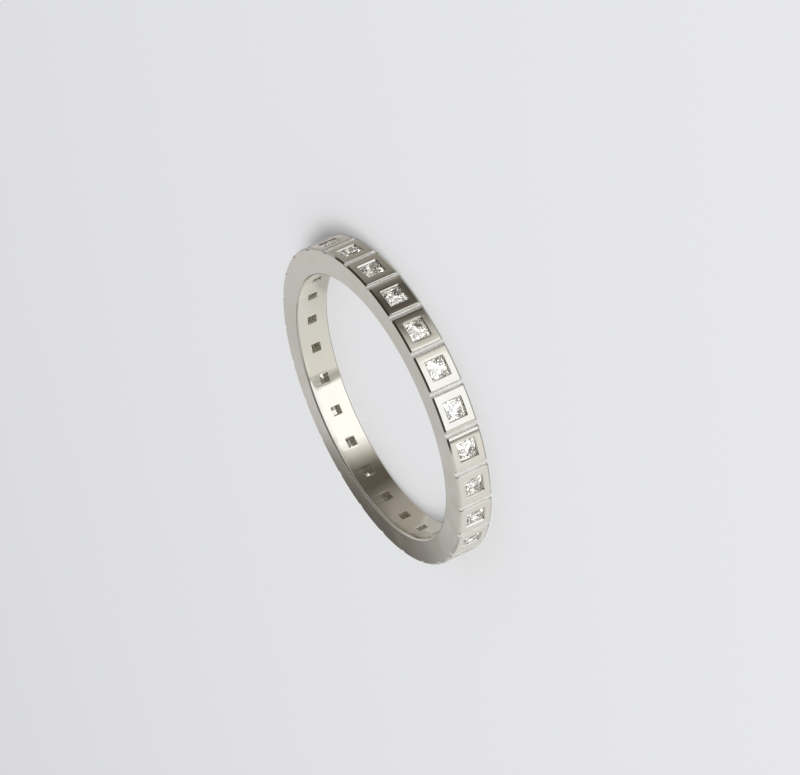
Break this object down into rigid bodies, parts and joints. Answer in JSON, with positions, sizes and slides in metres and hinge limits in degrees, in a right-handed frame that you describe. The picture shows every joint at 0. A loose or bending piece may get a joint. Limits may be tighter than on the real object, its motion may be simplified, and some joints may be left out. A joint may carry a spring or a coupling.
{
  "type": "eternity band",
  "caption": "Plain polished white metal ring with square-cut stones sunk flush into equal panels all the way round, a groove between each two.",
  "frame": {"origin": "middle of the plane on which the band's lower side face rests, on the finger axis", "axes": "+Z along the finger axis, up out of the side face that the picture shows; -Y through the middle of the first stone; stones count counter-clockwise"},
  "size_m": [0.02, 0.02, 0.0021],
  "materials": {
    "white_gold": "polished",
    "diamond": "faceted"
  },
  "bodies": {
    "root": {"band": "white_gold", "stone_01": "diamond", "stone_02": "diamond", "stone_03": "diamond", "stone_04": "diamond", "stone_05": "diamond", "stone_06": "diamond", "stone_07": "diamond", "stone_08": "diamond", "stone_09": "diamond", "stone_10": "diamond", "stone_11": "diamond", "stone_12": "diamond", "stone_13": "diamond", "stone_14": "diamond", "stone_15": "diamond", "stone_16": "diamond", "stone_17": "diamond", "stone_18": "diamond", "stone_19": "diamond", "stone_20": "diamond", "stone_21": "diamond", "stone_22": "diamond", "stone_23": "diamond", "stone_24": "diamond", "stone_25": "diamond"}
  },
  "joints": []
}
